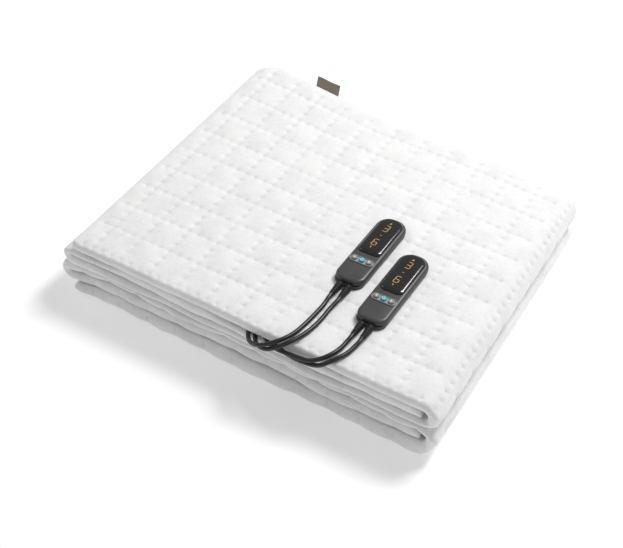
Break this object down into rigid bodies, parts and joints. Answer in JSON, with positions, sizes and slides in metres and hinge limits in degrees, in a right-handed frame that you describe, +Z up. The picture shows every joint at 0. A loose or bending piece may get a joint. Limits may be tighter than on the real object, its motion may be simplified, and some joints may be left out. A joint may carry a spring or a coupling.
{
  "type": "electric heated blanket",
  "caption": "Quilted electric heated blanket folded into a flat rectangular stack, with corded hand controllers lying on top and their leads tied behind.",
  "frame": {"origin": "under the middle of the folded stack, on the surface it lies on", "axes": "+X along the front lip from left to right, +Y from the front lip towards the back fold, +Z up"},
  "size_m": [0.5175, 0.4891, 0.099],
  "materials": {
    "quilted_cloth": "matt quilted microfibre",
    "woven_label": "woven tape",
    "handset_case": "satin",
    "handset_base": "satin",
    "display_window": "glossy, nearly black",
    "button_surround": "satin",
    "button_grey": "satin",
    "button_power": "satin",
    "cord_guard": "matt",
    "cord_sheath": "satin",
    "hank_tie": "matt",
    "plug_pin": "polished"
  },
  "bodies": {
    "root": {"blanket": "quilted_cloth", "blanket_label": "woven_label", "handset_left_base": "handset_base", "handset_left_shell": "handset_case", "handset_left_window": "display_window", "handset_left_bezel": "button_surround", "handset_left_guard_a": "cord_guard", "handset_left_guard_b": "cord_guard", "blanket_cord_left": "cord_sheath", "mains_lead_left": "cord_sheath", "hank_left": "cord_sheath", "hank_tie_left": "hank_tie", "plug_cord_left": "cord_sheath", "plug_left": "cord_sheath", "plug_pin_left_a": "plug_pin", "plug_pin_left_b": "plug_pin", "handset_right_base": "handset_base", "handset_right_shell": "handset_case", "handset_right_window": "display_window", "handset_right_bezel": "button_surround", "handset_right_guard_a": "cord_guard", "handset_right_guard_b": "cord_guard", "blanket_cord_right": "cord_sheath", "mains_lead_right": "cord_sheath", "hank_right": "cord_sheath", "hank_tie_right": "hank_tie", "plug_cord_right": "cord_sheath", "plug_right": "cord_sheath", "plug_pin_right_a": "plug_pin", "plug_pin_right_b": "plug_pin"},
    "left_down_button": {"handset_left_button_down": "button_grey"},
    "left_power_button": {"handset_left_button_power": "button_power"},
    "left_up_button": {"handset_left_button_up": "button_grey"},
    "right_down_button": {"handset_right_button_down": "button_grey"},
    "right_power_button": {"handset_right_button_power": "button_power"},
    "right_up_button": {"handset_right_button_up": "button_grey"}
  },
  "joints": [
    {"name": "left_down_press", "type": "slide", "parent": "root", "child": "left_down_button", "axis": [0, 0, -1], "range_m": [0, 0.0008], "stiffness_N_per_m": 300, "springref_m": -0.0004},
    {"name": "left_power_press", "type": "slide", "parent": "root", "child": "left_power_button", "axis": [0, 0, -1], "range_m": [0, 0.0008], "stiffness_N_per_m": 300, "springref_m": -0.0004},
    {"name": "left_up_press", "type": "slide", "parent": "root", "child": "left_up_button", "axis": [0, 0, -1], "range_m": [0, 0.0008], "stiffness_N_per_m": 300, "springref_m": -0.0004},
    {"name": "right_down_press", "type": "slide", "parent": "root", "child": "right_down_button", "axis": [0, 0, -1], "range_m": [0, 0.0008], "stiffness_N_per_m": 300, "springref_m": -0.0004},
    {"name": "right_power_press", "type": "slide", "parent": "root", "child": "right_power_button", "axis": [0, 0, -1], "range_m": [0, 0.0008], "stiffness_N_per_m": 300, "springref_m": -0.0004},
    {"name": "right_up_press", "type": "slide", "parent": "root", "child": "right_up_button", "axis": [0, 0, -1], "range_m": [0, 0.0008], "stiffness_N_per_m": 300, "springref_m": -0.0004}
  ]
}
